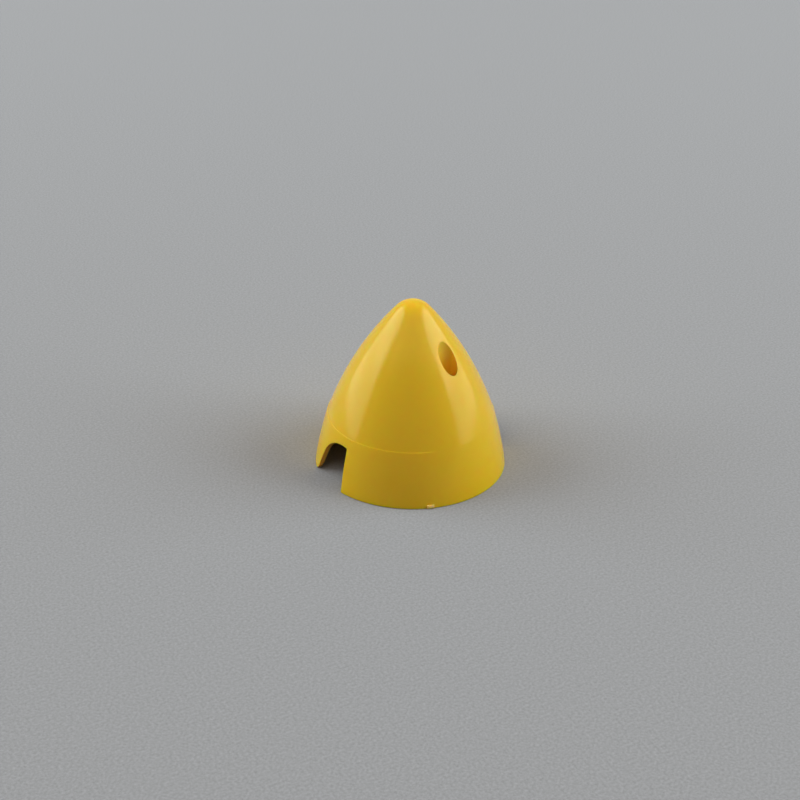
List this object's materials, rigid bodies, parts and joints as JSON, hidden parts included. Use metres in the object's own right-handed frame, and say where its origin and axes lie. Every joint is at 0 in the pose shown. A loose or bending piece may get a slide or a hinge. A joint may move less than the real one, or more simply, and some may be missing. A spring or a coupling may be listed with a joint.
{
  "type": "propeller spinner cone",
  "caption": "Hollow ogive spinner cone for a two-blade model aircraft propeller, with blade notches at the rim and deep pockets for the screws that hold it to its backplate.",
  "frame": {"origin": "centre of the base rim, on the spinner's axis, where the rim rests on its backplate or on a table", "axes": "+Z along the axis to the nose; +X out through the middle of one blade notch, the other notch faces -X"},
  "size_m": [0.055, 0.057, 0.0526],
  "materials": {
    "cone": "glossy moulded plastic, yellow right through"
  },
  "bodies": {
    "root": {"spinner_cone": "cone"}
  },
  "joints": []
}
